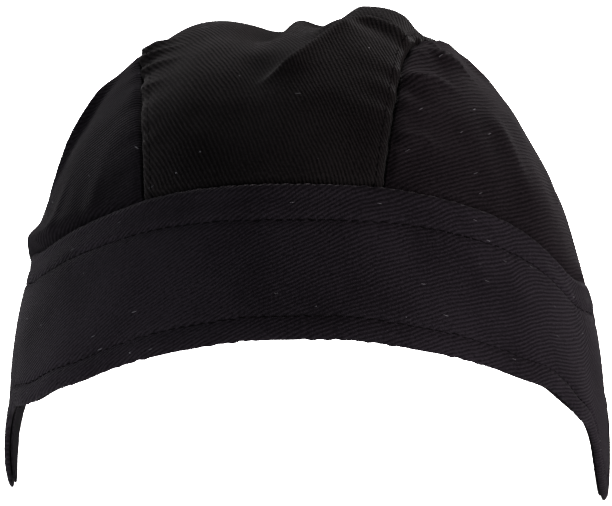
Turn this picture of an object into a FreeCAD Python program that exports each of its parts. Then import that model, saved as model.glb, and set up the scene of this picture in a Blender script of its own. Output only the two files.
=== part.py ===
import FreeCAD, Part
import math
import os
import Sketcher
from FreeCAD import Placement, Rotation, Vector

# A chef's close-fitting twill cap with a turned-up crescent band. The front of the cap faces -Y,
# the wearer's left is +X, and the origin is the middle of the head opening at the height of the
# front hem. Every ply of cloth is a piece of an ellipsoid shell: the crown's inside is the zero
# ply, and each other ply lies so many millimetres outside (or, with a minus, inside) it.

doc = FreeCAD.newDocument("ChefSkullCap")
sheet = doc.addObject("Spreadsheet::Sheet", "Sizes")

SIZES = [
    # The dome that all plies are measured from, for a head of about 58 cm round.
    ("dome_centre", -50.0, "height of the widest level of the cap"),
    ("dome_height", 128.0, "crown's rise above its widest level"),
    ("dome_across", 81.0, "half of the cap's inside width"),
    ("dome_along", 102.0, "half of the cap's inside length"),
    ("cutter_reach", 140.0, "how far the cutting profiles run past the cap"),
    # Plies, as distances from the crown's inside.
    ("ply_gap", 0.1, "air between two plies"),
    ("twill_ply", 1.0, "crown and band cloth"),
    ("thin_ply", 0.6, "facing, interlining and tape cloth"),
    ("thread_ply", 0.4, "how far a stitch stands up"),
    ("sweatband_ply", 1.2, "sweatband cloth"),
    ("hook_ply", 0.8, "hook or loop tape with its pile"),
    ("tab_clearance", 0.3, "air between the hooks and the loops"),
    # The crown's hem, seen from the side.
    ("hem_front_y", -97.0, "front of the hem"),
    ("hem_slope", 0.5, "how steeply the hem falls from the forehead to the ear"),
    ("ear_y", -40.0, "where the band's point starts"),
    ("nape_y", 45.0, "where the hem turns up to the nape"),
    ("nape_z", -36.0, "lowest place of the hem behind the ear"),
    ("back_z", -28.0, "hem at the middle of the back"),
    ("back_y", 110.0, "just behind the cap"),
    # The band.
    ("band_top_front", 40.0, "top edge of the band at the front"),
    ("band_top_y", -79.0, "where the front of the top edge lies"),
    ("band_top_slope", 0.54, "how steeply the top edge falls backwards"),
    ("point_y", 0.0, "lowest tip of the band's end"),
    ("point_z", -58.0, "height of that tip"),
    ("point_front_y", -22.0, "the hollow in front of the tip"),
    ("point_front_z", -42.0, "its height"),
    ("point_back_y", 16.0, "round the back of the tip"),
    ("point_back_z", -43.0, "its height"),
    ("band_end_y", 58.0, "where the band runs out behind the ear"),
    # Rows of stitches.
    ("top_row_drop", 9.0, "upper row below the band's top edge"),
    ("bottom_row_rise", 6.0, "lower row above the hem"),
    ("row_width", 0.8, "width of a row"),
    # The crown's seams and their tapes.
    ("seam_x", 36.0, "seam between the centre and side panels"),
    ("seam_row", 2.5, "row of stitches beside the seam"),
    ("tape_half", 5.0, "half the seam tape's width"),
    # The sweatband and the label inside.
    ("sweatband_rise", 30.0, "height of the sweatband above the hem"),
    ("label_half", 15.0, "half the label's width"),
    ("label_low", 24.0, "label's lower edge"),
    ("label_high", 54.0, "label's upper edge"),
    # The size adjuster at the back.
    ("opening_radius", 45.0, "half-moon opening above the adjuster"),
    ("opening_centre", -30.0, "height of the half-moon's centre"),
    ("binding_width", 6.0, "tape that binds the half-moon"),
    ("strap_low", -28.0, "lower edge of the adjuster"),
    ("strap_high", -8.0, "upper edge of the adjuster"),
    ("strap_half", 56.0, "half the adjuster's length"),
    ("loop_end", -30.0, "free end of the loop side"),
    ("hinge_x", -38.0, "line where the hook side is sewn down and bends"),
    ("hook_end", 28.0, "free end of the hook side"),
    ("tape_margin", 2.5, "strap left bare round its tape"),
    ("bartack_near", 49.0, "bartack's inner edge"),
    ("bartack_far", 52.0, "bartack's outer edge"),
]
for row, (alias, value, meaning) in enumerate(SIZES, start=1):
    sheet.set(f"A{row}", meaning)
    sheet.set(f"B{row}", str(value))
    sheet.setAlias(f"B{row}", alias)
doc.recompute()


def cell(alias):
    return f"Sizes.{alias}"


# ---- distances of the plies from the crown's inside, as expressions in the sheet's words

GAP = cell("ply_gap")
CROWN_OUT = cell("twill_ply")
FACING_IN = f"{CROWN_OUT} + {GAP}"
FACING_OUT = f"{FACING_IN} + {cell('thin_ply')}"
STAY_IN = f"{FACING_OUT} + {GAP}"
STAY_OUT = f"{STAY_IN} + {cell('thin_ply')}"
BAND_IN = f"{STAY_OUT} + {GAP}"
BAND_OUT = f"{BAND_IN} + {cell('twill_ply')}"
THREAD_IN = f"{BAND_OUT} + {GAP}"
THREAD_OUT = f"{THREAD_IN} + {cell('thread_ply')}"
CROWN_THREAD_OUT = f"{FACING_IN} + {cell('thread_ply')}"
LINING_OUT = f"-{GAP}"
TAPE_IN = f"-{GAP} - {cell('thin_ply')}"
SWEATBAND_IN = f"-{GAP} - {cell('sweatband_ply')}"
SWEAT_THREAD_OUT = f"{SWEATBAND_IN} - {GAP}"
SWEAT_THREAD_IN = f"{SWEAT_THREAD_OUT} - {cell('thread_ply')}"
LOOP_TAB_OUT = f"{FACING_IN} + {cell('twill_ply')}"
LOOP_TAPE_IN = f"{LOOP_TAB_OUT} + {GAP}"
LOOP_TAPE_OUT = f"{LOOP_TAPE_IN} + {cell('hook_ply')}"
HOOK_TAPE_IN = f"{LOOP_TAPE_OUT} + {cell('tab_clearance')}"
HOOK_TAPE_OUT = f"{HOOK_TAPE_IN} + {cell('hook_ply')}"
HOOK_TAB_IN = f"{HOOK_TAPE_OUT} + {GAP}"
HOOK_TAB_OUT = f"{HOOK_TAB_IN} + {cell('twill_ply')}"
HOOK_THREAD_IN = f"{HOOK_TAB_OUT} + {GAP}"
HOOK_THREAD_OUT = f"{HOOK_THREAD_IN} + {cell('thread_ply')}"

domes = {}


def dome(depth):
    """The closed ellipsoid that lies depth outside the crown's inside."""
    if depth not in domes:
        egg = doc.addObject("Part::Ellipsoid", f"Dome{len(domes)}")
        egg.setExpression("Radius1", f"{cell('dome_height')} + {depth}")
        egg.setExpression("Radius2", f"{cell('dome_across')} + {depth}")
        egg.setExpression("Radius3", f"{cell('dome_along')} + {depth}")
        egg.setExpression("Placement.Base.z", cell("dome_centre"))
        domes[depth] = egg
    return domes[depth]


def boolean(kind, name, base, tool):
    result = doc.addObject(f"Part::{kind}", name)
    result.Base = base
    result.Tool = tool
    return result


def ply(name, inside, outside):
    """A whole ellipsoid shell of cloth between two distances."""
    return boolean("Cut", f"{name}Shell", dome(outside), dome(inside))


# ---- cutters: side profiles run through the cap along X, slabs and discs


def side_profile(name, corners):
    """A solid that runs along X, with its outline given as (y, z) expressions in order."""
    sketch = doc.addObject("Sketcher::SketchObject", f"{name}Sketch")
    facing_x = Rotation(Vector(0, 1, 0), Vector(0, 0, 1), Vector(1, 0, 0), "XYZ")
    sketch.Placement = Placement(Vector(0, 0, 0), facing_x)
    count = len(corners)
    for index in range(count):
        # A rough outline that already has the right turning sense: the constraints set the sizes.
        turn = 2 * math.pi / count
        start = Vector(math.cos(index * turn), math.sin(index * turn), 0)
        end = Vector(math.cos((index + 1) * turn), math.sin((index + 1) * turn), 0)
        sketch.addGeometry(Part.LineSegment(start * 100, end * 100), False)
    for index in range(count):
        sketch.addConstraint(
            Sketcher.Constraint("Coincident", index, 2, (index + 1) % count, 1)
        )
    for index, (y, z) in enumerate(corners):
        for axis, expression in (("DistanceX", y), ("DistanceY", z)):
            label = f"Corner{index}{axis[-1]}"
            place = sketch.addConstraint(
                Sketcher.Constraint(axis, -1, 1, index, 1, 1.0)
            )
            sketch.renameConstraint(place, label)
            sketch.setExpression(f"Constraints.{label}", expression)
    solid = doc.addObject("Part::Extrusion", name)
    solid.Base = sketch
    solid.DirMode = "Normal"
    solid.Solid = True
    solid.Symmetric = True
    solid.setExpression("LengthFwd", f"2 * {cell('cutter_reach')}")
    return solid


def block(name, low, high):
    """A box between two corners, each given as three expressions."""
    box = doc.addObject("Part::Box", name)
    for axis, size, start, end in zip("xyz", ("Length", "Width", "Height"), low, high):
        box.setExpression(f"Placement.Base.{axis}", start)
        box.setExpression(size, f"({end}) - ({start})")
    return box


def rear_disc(name, radius):
    """A round plug through the back of the cap only, about the half-moon's centre."""
    disc = doc.addObject("Part::Cylinder", name)
    disc.Placement = Placement(Vector(0, 0, 0), Rotation(Vector(1, 0, 0), -90))
    disc.setExpression("Radius", radius)
    disc.setExpression("Height", cell("cutter_reach"))
    disc.setExpression("Placement.Base.z", cell("opening_centre"))
    return disc


FAR = cell("cutter_reach")
NEAR = f"-{FAR}"


def hem_line(rise):
    """The crown's hem from the front to the back, lifted by rise."""
    front = f"{cell('hem_slope')} * ({FAR} + {cell('hem_front_y')}) + {rise}"
    ear = f"-{cell('hem_slope')} * ({cell('ear_y')} - {cell('hem_front_y')}) + {rise}"
    return [
        (NEAR, front),
        (cell("ear_y"), ear),
        (cell("nape_y"), f"{cell('nape_z')} + {rise}"),
        (cell("back_y"), f"{cell('back_z')} + {rise}"),
    ]


def point_line(rise):
    """The lower edge of the band's end: down to its tip and up again."""
    return [
        (cell("point_front_y"), f"{cell('point_front_z')} + {rise}"),
        (cell("point_y"), f"{cell('point_z')} + {rise}"),
        (cell("point_back_y"), f"{cell('point_back_z')} + {rise}"),
    ]


def top_edge(y, drop):
    """Height of the band's top edge at y, lowered by drop."""
    fall = f"{cell('band_top_slope')} * ({y} - ({cell('band_top_y')}))"
    return f"{cell('band_top_front')} - {fall} - {drop}"


def top_line(drop):
    """The band's top edge from behind the ear to the front."""
    return [
        (cell("band_end_y"), top_edge(cell("band_end_y"), drop)),
        (NEAR, top_edge(NEAR, drop)),
    ]


crown_side = side_profile("CrownSide", hem_line("0") + [(cell("back_y"), FAR), (NEAR, FAR)])
band_side = side_profile("BandSide", hem_line("0")[:2] + point_line("0") + top_line("0"))
sweatband_side = side_profile(
    "SweatbandSide", hem_line("0") + hem_line(cell("sweatband_rise"))[::-1]
)
above_sweatband = side_profile(
    "AboveSweatband",
    hem_line(f"{cell('sweatband_rise')} + {GAP}") + [(cell("back_y"), FAR), (NEAR, FAR)],
)
above_band = side_profile(
    "AboveBand",
    [
        (NEAR, top_edge(NEAR, "-1")),
        (cell("band_end_y"), top_edge(cell("band_end_y"), "-1")),
        (cell("back_y"), top_edge(cell("band_end_y"), "-1")),
        (cell("back_y"), FAR),
        (NEAR, FAR),
    ],
)
row_high = f"{cell('top_row_drop')} + {cell('row_width')}"
top_row_side = side_profile(
    "TopRowSide", top_line(cell("top_row_drop")) + top_line(row_high)[::-1]
)
low_rise = cell("bottom_row_rise")
high_rise = f"{cell('bottom_row_rise')} + {cell('row_width')}"
bottom_row_side = side_profile(
    "BottomRowSide",
    hem_line(low_rise)[:2]
    + point_line(low_rise)[:1]
    + point_line(high_rise)[:1]
    + hem_line(high_rise)[:2][::-1],
)
sweat_row_side = side_profile(
    "SweatRowSide",
    hem_line(f"{cell('sweatband_rise')} - 3 * {cell('row_width')}")
    + hem_line(f"{cell('sweatband_rise')} - 2 * {cell('row_width')}")[::-1],
)
half_moon = rear_disc("HalfMoon", cell("opening_radius"))
binding_edge = rear_disc("BindingEdge", f"{cell('opening_radius')} + {cell('binding_width')}")
tape_stop = rear_disc(
    "TapeStop", f"{cell('opening_radius')} + {cell('binding_width')} + {GAP}"
)


def strip(name, low_x, high_x):
    """A slab between two X values, through the whole cap."""
    return block(name, (low_x, NEAR, NEAR), (high_x, FAR, FAR))


def rear_patch(name, x_low, x_high, inset):
    """A window on the adjuster's strap at the back, held in by inset at top and bottom."""
    low = (x_low, cell("nape_y"), f"{cell('strap_low')} + {inset}")
    high = (x_high, FAR, f"{cell('strap_high')} - {inset}")
    return block(name, low, high)


def piece(label, shell, cutters, holes=()):
    """The part of a shell inside every cutter and outside every hole, labelled as a node."""
    shape = shell
    for number, cutter in enumerate(cutters):
        shape = boolean("Common", f"{label}_in{number}", shape, cutter)
    for number, hole in enumerate(holes):
        shape = boolean("Cut", f"{label}_out{number}", shape, hole)
    shape.Label = label
    nodes.append(shape)
    return shape


nodes = []

# ---- crown: a centre panel from forehead to nape and two side panels
crown = ply("Crown", "0", CROWN_OUT)
half_gap = f"{GAP} / 2"
centre_strip = strip(
    "CentreStrip", f"-{cell('seam_x')} + {half_gap}", f"{cell('seam_x')} - {half_gap}"
)
left_strip = strip("LeftStrip", f"{cell('seam_x')} + {half_gap}", FAR)
right_strip = strip("RightStrip", NEAR, f"-{cell('seam_x')} - {half_gap}")
piece("crown_centre_panel", crown, [crown_side, centre_strip], [half_moon])
piece("crown_left_panel", crown, [crown_side, left_strip], [half_moon])
piece("crown_right_panel", crown, [crown_side, right_strip], [half_moon])

# ---- tapes over the two seams, inside, and a row of stitches beside each, outside
tape_shell = ply("SeamTape", TAPE_IN, LINING_OUT)
crown_thread = ply("CrownThread", FACING_IN, CROWN_THREAD_OUT)
for side, sign in (("left", ""), ("right", "-")):
    seam = f"{sign}{cell('seam_x')}"
    tape = strip(
        f"TapeStrip_{side}", f"{seam} - {cell('tape_half')}", f"{seam} + {cell('tape_half')}"
    )
    piece(f"seam_tape_{side}", tape_shell, [above_sweatband, tape], [tape_stop])
    inner = f"{cell('seam_x')} - {cell('seam_row')}"
    row = f"{sign}({inner})"
    half_row = f"{cell('row_width')} / 2"
    row_strip = strip(f"RowStrip_{side}", f"{row} - {half_row}", f"{row} + {half_row}")
    piece(f"crown_stitching_{side}", crown_thread, [above_band, row_strip], [tape_stop])

# ---- turned-up band: facing, stiff interlining and outer cloth, with its two rows
piece("band_facing", ply("Facing", FACING_IN, FACING_OUT), [band_side])
piece("band_interlining", ply("Interlining", STAY_IN, STAY_OUT), [band_side])
piece("band_outer", ply("Band", BAND_IN, BAND_OUT), [band_side])
band_thread = ply("BandThread", THREAD_IN, THREAD_OUT)
piece("band_top_stitching", band_thread, [top_row_side, band_side])
piece("band_bottom_stitching", band_thread, [bottom_row_side, band_side])

# ---- sweatband round the inside of the hem, open at the back, and its row
sweatband_shell = ply("Sweatband", SWEATBAND_IN, LINING_OUT)
piece("sweatband", sweatband_shell, [sweatband_side], [tape_stop])
sweat_thread = ply("SweatThread", SWEAT_THREAD_IN, SWEAT_THREAD_OUT)
piece("sweatband_stitching", sweat_thread, [sweat_row_side], [tape_stop])

# ---- blank care label, inside above the half-moon
label_window = block(
    "LabelWindow",
    (f"-{cell('label_half')}", "0", cell("label_low")),
    (cell("label_half"), FAR, cell("label_high")),
)
piece("care_label", tape_shell, [label_window])

# ---- binding round the half-moon, above the adjuster
over_strap = block(
    "OverStrap",
    (NEAR, "0", f"{cell('strap_high')} + {GAP}"),
    (FAR, FAR, FAR),
)
binding_shell = ply("Binding", FACING_IN, FACING_OUT)
piece("rear_opening_binding", binding_shell, [binding_edge, over_strap], [half_moon])

# ---- adjuster, fixed side: the loop tab is sewn to the left panel and carries loop tape
loop_window = rear_patch("LoopWindow", cell("loop_end"), cell("strap_half"), "0")
piece("loop_tab", ply("LoopTab", FACING_IN, LOOP_TAB_OUT), [loop_window])
margin = cell("tape_margin")
loop_tape_window = rear_patch(
    "LoopTapeWindow",
    f"{cell('loop_end')} + {margin}",
    f"{cell('opening_radius')} - {margin}",
    margin,
)
loop_tape_shell = ply("LoopTape", LOOP_TAPE_IN, LOOP_TAPE_OUT)
piece("loop_tape", loop_tape_shell, [loop_tape_window])
tack_low = cell("bartack_near")
tack_high = cell("bartack_far")
loop_tack = rear_patch("LoopTack", tack_low, tack_high, margin)
loop_tack_shell = ply("LoopTack", LOOP_TAPE_IN, f"{LOOP_TAPE_IN} + {cell('thread_ply')}")
piece("loop_tab_bartack", loop_tack_shell, [loop_tack])

# ---- adjuster, moving side: the hook tab bends along its sewn line and peels off the loops
end_window = rear_patch("EndWindow", f"-{cell('strap_half')}", cell("hinge_x"), "0")
piece("hook_tab_end", ply("HookTabEnd", FACING_IN, HOOK_TAB_OUT), [end_window])
hook_thread = ply("HookThread", HOOK_THREAD_IN, HOOK_THREAD_OUT)
hook_tack = rear_patch("HookTack", f"-{tack_high}", f"-{tack_low}", margin)
piece("hook_tab_bartack", hook_thread, [hook_tack])
hook_start = f"{cell('hinge_x')} + {cell('tab_clearance')}"
hook_window = rear_patch("HookWindow", hook_start, cell("hook_end"), "0")
piece("hook_tab", ply("HookTab", HOOK_TAB_IN, HOOK_TAB_OUT), [hook_window])
hook_tape_window = rear_patch(
    "HookTapeWindow", f"{cell('loop_end')} + {margin}", f"{cell('hook_end')} - {margin}", margin
)
hook_tape_shell = ply("HookTape", HOOK_TAPE_IN, HOOK_TAPE_OUT)
piece("hook_tape", hook_tape_shell, [hook_tape_window])
row_outer = rear_patch(
    "HookRowOuter", f"{hook_start} + {margin}", f"{cell('hook_end')} - {margin}", margin
)
row_margin = f"{margin} + {cell('row_width')}"
row_inner = rear_patch(
    "HookRowInner",
    f"{hook_start} + {row_margin}",
    f"{cell('hook_end')} - ({row_margin})",
    row_margin,
)
piece("hook_tab_stitching", hook_thread, [row_outer], [row_inner])

doc.recompute()

# ---- checks, then one STEP file for each node
for item in doc.Objects:
    bad = {"Invalid", "Error"} & set(item.State)
    if bad:
        raise RuntimeError(f"{item.Name} ({item.Label}) failed: {item.State}")
os.makedirs("parts", exist_ok=True)
for node in nodes:
    shape = node.Shape
    if shape.isNull() or not shape.isValid() or not shape.Solids:
        raise RuntimeError(f"{node.Label} has no valid solid")
    print(f"{node.Label}: {len(shape.Solids)} solid(s), {shape.Volume:.0f} mm3")
for node in nodes:
    node.Shape.exportStep(f"parts/{node.Label}.step")
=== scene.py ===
import bpy
import math
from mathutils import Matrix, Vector, noise


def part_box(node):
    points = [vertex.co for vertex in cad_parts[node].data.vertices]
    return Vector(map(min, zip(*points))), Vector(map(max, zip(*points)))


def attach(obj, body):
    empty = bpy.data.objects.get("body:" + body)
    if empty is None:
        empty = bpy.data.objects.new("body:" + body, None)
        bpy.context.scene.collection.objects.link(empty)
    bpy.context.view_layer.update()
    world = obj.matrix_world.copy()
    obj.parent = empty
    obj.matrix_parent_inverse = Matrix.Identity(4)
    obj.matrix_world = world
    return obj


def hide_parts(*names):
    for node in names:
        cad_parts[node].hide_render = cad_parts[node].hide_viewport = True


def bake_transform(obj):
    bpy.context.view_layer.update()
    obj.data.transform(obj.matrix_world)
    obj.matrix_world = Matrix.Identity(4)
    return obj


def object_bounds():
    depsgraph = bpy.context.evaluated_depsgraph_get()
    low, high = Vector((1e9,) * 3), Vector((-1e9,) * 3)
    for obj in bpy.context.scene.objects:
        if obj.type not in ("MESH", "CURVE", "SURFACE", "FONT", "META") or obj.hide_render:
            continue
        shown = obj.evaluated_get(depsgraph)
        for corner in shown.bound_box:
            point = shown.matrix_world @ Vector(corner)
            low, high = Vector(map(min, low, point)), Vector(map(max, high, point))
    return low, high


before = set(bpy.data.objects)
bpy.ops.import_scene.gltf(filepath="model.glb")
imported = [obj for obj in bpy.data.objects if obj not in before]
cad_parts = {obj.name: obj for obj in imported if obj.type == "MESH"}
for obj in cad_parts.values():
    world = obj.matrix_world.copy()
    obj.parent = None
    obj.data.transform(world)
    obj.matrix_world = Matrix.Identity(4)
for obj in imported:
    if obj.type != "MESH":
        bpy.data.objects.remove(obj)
cad_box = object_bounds()
mm = 0.001

# ---- The room: a pale seamless floor that glows a little, a large soft light at each side and
# one above and behind, and a camera that looks at the forehead from a little above and a little
# to the wearer's left.

floor_mesh = bpy.data.meshes.new("studio_floor")
floor_reach = 12.0
floor_height = cad_box[0][2] - 0.5 * mm
floor_corners = [(-floor_reach, -floor_reach), (floor_reach, -floor_reach)]
floor_corners += [(floor_reach, floor_reach), (-floor_reach, floor_reach)]
floor_mesh.from_pydata([(x, y, floor_height) for x, y in floor_corners], [], [(0, 1, 2, 3)])
studio_floor = bpy.data.objects.new("studio_floor", floor_mesh)
bpy.context.collection.objects.link(studio_floor)
pale_paper = bpy.data.materials.new("pale_paper")
pale_paper.use_nodes = True
paper_inputs = pale_paper.node_tree.nodes["Principled BSDF"].inputs
paper_inputs["Base Color"].default_value = (0.92, 0.92, 0.92, 1)
paper_inputs["Roughness"].default_value = 0.9
paper_inputs["Emission Color"].default_value = (1, 1, 1, 1)
paper_inputs["Emission Strength"].default_value = 1.05
floor_mesh.materials.append(pale_paper)


def aim(item, place, target):
    """Puts a light or the camera at a place and points it at a target."""
    item.location = place
    item.rotation_euler = (Vector(target) - Vector(place)).to_track_quat("-Z", "Y").to_euler()


def soft_light(name, place, size, power, tint):
    """A round diffuser of a size in metres, turned towards the cap."""
    lamp = bpy.data.lights.new(name, "AREA")
    lamp.shape = "DISK"
    lamp.size = size
    lamp.energy = power
    lamp.color = tint
    item = bpy.data.objects.new(name, lamp)
    bpy.context.collection.objects.link(item)
    aim(item, place, (0, 0, 0.02))


soft_light("window_left", (-1.4, -0.2, 0.5), 0.7, 23, (0.90, 0.91, 1.0))
soft_light("lamp_right", (1.4, -0.2, 0.5), 0.7, 44, (1.0, 0.87, 0.90))
soft_light("lamp_behind", (-0.15, 1.0, 1.0), 0.4, 110, (1.0, 0.97, 0.98))

studio = bpy.data.worlds.new("studio")
studio.use_nodes = True
sky_inputs = studio.node_tree.nodes["Background"].inputs
sky_inputs["Color"].default_value = (1, 1, 1, 1)
sky_inputs["Strength"].default_value = 0.25
bpy.context.scene.world = studio
bpy.context.scene.view_settings.view_transform = "Standard"

camera_data = bpy.data.cameras.new("camera")
camera = bpy.data.objects.new("camera", camera_data)
bpy.context.collection.objects.link(camera)
camera_distance = 1.1
camera_turn = math.radians(6)
camera_rise = math.radians(9)
seen_width = 170.5 * mm
camera_data.lens = camera_data.sensor_width * camera_distance / seen_width
looked_at = Vector((-0.5 * mm, 0, 9.7 * mm))
away = Vector(
    (
        math.sin(camera_turn) * math.cos(camera_rise),
        -math.cos(camera_turn) * math.cos(camera_rise),
        math.sin(camera_rise),
    )
)
aim(camera, looked_at + away * camera_distance, looked_at)
bpy.context.scene.camera = camera

# ---- Crown: three panels of black cotton twill, a long one from the forehead to the nape and one
# over each side of the head. Their edges are turned in and sewn together, so each seam lies in
# a puckered furrow, and the loose cloth at the top of the head stands in folds.

half_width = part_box("crown_left_panel")[1][0]
half_length = half_width * 1.256
widest_level = -50 * mm
dome_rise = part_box("crown_centre_panel")[1][2] - widest_level
fullness = 2.1
run_of_lean = 115 * mm


def dome_scale(height):
    """How wide the dome is at this height, as a share of its widest level."""
    share = min(abs(height - widest_level) / dome_rise, 0.99999)
    return (1 - share**fullness) ** (1 / fullness)


def dome_normal(spot):
    """The way out from the dome at a place."""
    return Vector(
        (
            spot.x / half_width**2,
            spot.y / half_length**2,
            (spot.z - widest_level) / dome_rise**2,
        )
    ).normalized()


def dome_by_lean(across, lean):
    """The dome's point at a distance across from the middle, leaning back from straight up."""
    swing = 0.0
    for _ in range(6):
        heading = Vector(
            (
                math.sin(swing),
                math.cos(swing) * math.sin(lean),
                math.cos(swing) * math.cos(lean),
            )
        )
        flat = math.hypot(heading.x / half_width, heading.y / half_length)
        reach = (flat**fullness + abs(heading.z / dome_rise) ** fullness) ** (-1 / fullness)
        swing = math.asin(max(-0.999, min(0.999, across / reach)))
    return heading * reach + Vector((0, 0, widest_level))


def dome_by_bearing(bearing, height):
    """The dome's point at a height; bearing 0 is the forehead and 90 degrees the wearer's left."""
    scale = dome_scale(height)
    return Vector(
        (
            half_width * scale * math.sin(bearing),
            -half_length * scale * math.cos(bearing),
            height,
        )
    )


def bearing_of(spot):
    """The bearing of a place, the other way round from dome_by_bearing."""
    return math.atan2(spot.x / half_width, -spot.y / half_length)


def ease(share):
    """A share held between 0 and 1, with a soft start and end."""
    share = max(0.0, min(1.0, share))
    return share * share * (3 - 2 * share)


def smooth_line(stations, place):
    """Height at place on a smooth line through (place, height) stations."""
    if place <= stations[0][0]:
        return stations[0][1]
    for index in range(len(stations) - 1):
        start, end = stations[index], stations[index + 1]
        if place <= end[0]:
            before = stations[max(index - 1, 0)]
            after = stations[min(index + 2, len(stations) - 1)]
            width = end[0] - start[0]
            share = (place - start[0]) / width
            slope_in = (end[1] - before[1]) / (end[0] - before[0]) * width
            slope_out = (after[1] - start[1]) / (after[0] - start[0]) * width
            cube, square = share**3, share**2
            return (
                (2 * cube - 3 * square + 1) * start[1]
                + (cube - 2 * square + share) * slope_in
                + (3 * square - 2 * cube) * end[1]
                + (cube - square) * slope_out
            )
    return stations[-1][1]


band_top_drift = [
    (-124, 0), (-105, 4), (-90, 5.5), (-80, 4), (-69, -1), (-44, -1.9), (-28, -0.5), (0, 0.5),
    (15, 1.6), (26, 2.7), (45, 3.4), (62, 2.9), (70, 0.9), (77, -0.4), (84, 1.8), (92, 5.5),
    (105, 4), (124, 0),
]


def band_top(spot):
    """Height of the band's top edge near a place: a sloping cut, set a little askew."""
    drift = smooth_line(band_top_drift, math.degrees(bearing_of(spot)))
    return 40 * mm - 0.54 * (spot.y + 79 * mm) + drift * mm


def on_crown(across, lean):
    """A place on the crown, given in millimetres across and degrees back from the top."""
    return dome_by_lean(across * mm, math.radians(lean))


class Fold:
    """A crease in the cloth along a path, steep on its left side and gentle on its right."""

    def __init__(self, path, height, left, right, fade_in=0.3, fade_out=0.3, bluntness=1.5):
        self.path = [on_crown(*place) for place in path]
        self.height, self.left, self.right = height * mm, left * mm, right * mm
        self.fade_in, self.fade_out, self.bluntness = fade_in, fade_out, bluntness
        self.middle = sum(self.path, Vector()) / len(self.path)
        far = max((place - self.middle).length for place in self.path)
        self.reach = far + 3 * max(self.left, self.right)

    def lift(self, spot):
        if (spot - self.middle).length > self.reach:
            return 0.0
        nearest, count = None, len(self.path) - 1
        for index in range(count):
            start, run = self.path[index], self.path[index + 1] - self.path[index]
            share = max(0.0, min(1.0, (spot - start).dot(run) / run.length_squared))
            gap = spot - start - run * share
            if nearest is None or gap.length < nearest[0]:
                side = run.cross(gap).dot(dome_normal(spot))
                nearest = (gap.length, side, (index + share) / count)
        distance, side, along = nearest
        width = self.left if side > 0 else self.right
        fade = ease(along / self.fade_in) * ease((1 - along) / self.fade_out)
        return self.height * fade * math.exp(-((distance / width) ** self.bluntness))


class Swell:
    """A broad bulge, or with a minus a hollow, round one place on the crown."""

    def __init__(self, place, height, across, along):
        self.middle = on_crown(*place)
        self.height, self.across, self.along = height * mm, across * mm, along * mm

    def lift(self, spot):
        gap = spot - self.middle
        square = (gap.x / self.across) ** 2 + (gap.y**2 + gap.z**2) / self.along**2
        return self.height * math.exp(-square) if square < 9 else 0.0


crown_shape = [
    # the hump on the wearer's right, the trench beside it and the folds that stand behind it
    Swell((-24, -6), -1.2, 15, 30),
    Swell((-52, -2), 3.4, 16, 42),
    Swell((-67, -14), 1.5, 13, 34),
    Swell((63, -10), 1.7, 12, 30),
    Swell((-4, 4), -8.2, 17, 52),
    Swell((-30, 2), 1.5, 8, 22),
    Swell((-13, 0), -3.4, 6, 25),
    Swell((-4, 3), 2.4, 4.5, 20),
    Swell((30, 4), -2.6, 5, 14),
    Swell((37, 3), 1.3, 5, 14),
    Swell((5, 4), -2.2, 4.5, 14),
    Swell((-8, -21), -1.8, 6, 12),
    Fold([(-10, -25), (0, -20), (9, -13), (15, -8)], 3.2, 1.4, 5.0, 0.35, 0.2, 1.3),
    Fold([(4, -13), (11, -9), (18, -7.5), (25, -8.5), (31, -12)], 2.6, 4.0, 2.6, 0.2, 0.25, 1.6),
    Swell((20, -1.5), -3.4, 11, 7),
    Fold([(9, 5), (15, 6), (24, 6), (33, 3)], 2.0, 3.0, 8.0, 0.25, 0.3, 1.8),
    Fold([(17, 3), (24, 0), (32, -4), (37, -6)], 1.0, 1.4, 2.2, 0.3, 0.3, 1.4),
    # gathers at the head of the wearer's right seam
    Fold([(-45, -1), (-38, -3.5), (-31, -6)], 2.0, 1.1, 1.9, 0.25, 0.6),
    Fold([(-45, -5), (-38, -7.5), (-29, -9)], 1.7, 1.1, 1.9, 0.25, 0.6),
    Fold([(-44, -9.5), (-37, -12), (-28, -13.5)], 1.2, 1.3, 2.0, 0.25, 0.6),
    Fold([(-44, -14), (-38, -17), (-31, -18)], 0.8, 1.4, 2.2, 0.3, 0.6),
    # the roll along the wearer's right shoulder of the crown
    Fold([(-45, -4), (-54, -8), (-61, -12), (-67, -18)], 2.6, 1.6, 6.0, 0.25, 0.5, 1.5),
    Fold([(-56, -20), (-62, -27), (-66, -36)], 0.7, 2.4, 4.0, 0.4, 0.5, 1.8),
    Fold([(-46, -24), (-50, -34), (-52, -44)], 0.4, 2.6, 4.0, 0.4, 0.5, 1.8),
    Fold([(-46, 4), (-56, 6), (-64, 4)], 1.6, 3.0, 4.0, 0.3, 0.4, 1.6),
    # gathers at the head of the wearer's left seam
    Fold([(29, -19), (36, -15), (44, -13)], 1.7, 1.3, 2.6, 0.25, 0.6),
    Fold([(33, -9), (40, -6), (48, -5)], 1.8, 1.3, 2.6, 0.2, 0.6),
    Fold([(28, -30), (35, -28), (43, -29)], 1.0, 1.6, 2.6, 0.25, 0.6),
    Fold([(48, -10), (56, -16), (62, -25)], 0.6, 3.0, 5.0, 0.3, 0.5, 1.8),
    Fold([(38, 6), (46, 6), (53, 8)], 1.2, 2.0, 4.0, 0.3, 0.5),
    Swell((42, 4), -1.6, 7, 12),
    # slack cloth over the back of the head
    Fold([(-30, 30), (-10, 34), (12, 31), (30, 36)], 1.6, 3.5, 6.0, 0.3, 0.4, 1.7),
    Fold([(-20, 48), (4, 46), (26, 52)], 1.3, 3.0, 5.0, 0.3, 0.4, 1.7),
    Fold([(-50, 22), (-58, 36), (-62, 50)], 1.6, 3.0, 6.0, 0.3, 0.5, 1.7),
    Fold([(50, 20), (60, 34), (63, 50)], 1.8, 3.0, 6.0, 0.3, 0.5, 1.7),
]

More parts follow.
